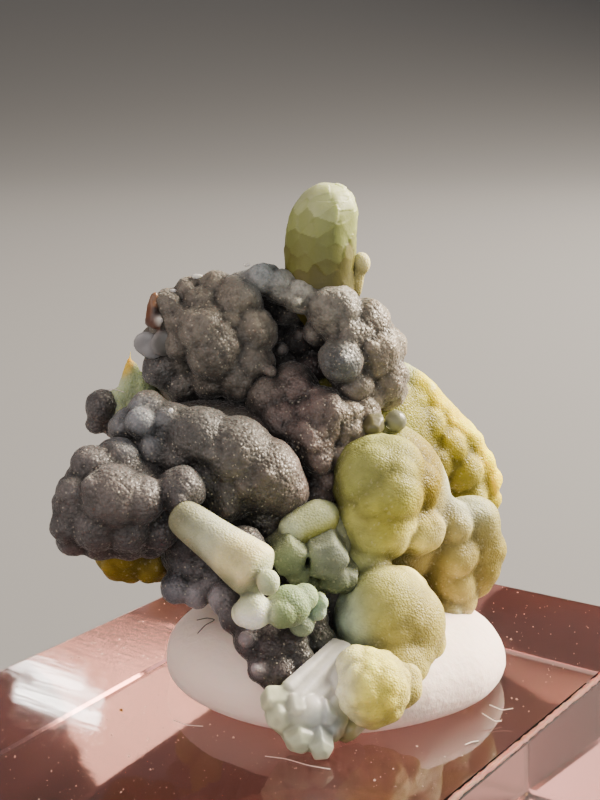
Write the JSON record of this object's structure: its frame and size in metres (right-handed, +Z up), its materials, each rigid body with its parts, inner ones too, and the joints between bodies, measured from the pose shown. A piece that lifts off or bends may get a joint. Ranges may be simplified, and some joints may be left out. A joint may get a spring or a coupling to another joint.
{
  "type": "mineral specimen on a display base",
  "caption": "Rough botryoidal mineral crust on frosted green crystal lobes, held upright by a pad of putty on a small clear rectangular display base",
  "frame": {"origin": "centre of the base's underside", "axes": "+Z up; X along the base's short side, Y along its long side; the specimen's front faces between -Y and +X"},
  "size_m": [0.02, 0.03, 0.0289],
  "materials": {
    "plumbogummite_stone": "dark granular botryoidal crust over frosted olive-green crystal lobes",
    "white_putty": "soft white putty, matt, with fine lint",
    "clear_acrylic": null
  },
  "bodies": {
    "root": {"plumbogummite_specimen": "plumbogummite_stone", "mounting_putty": "white_putty", "acrylic_base": "clear_acrylic"}
  },
  "joints": []
}
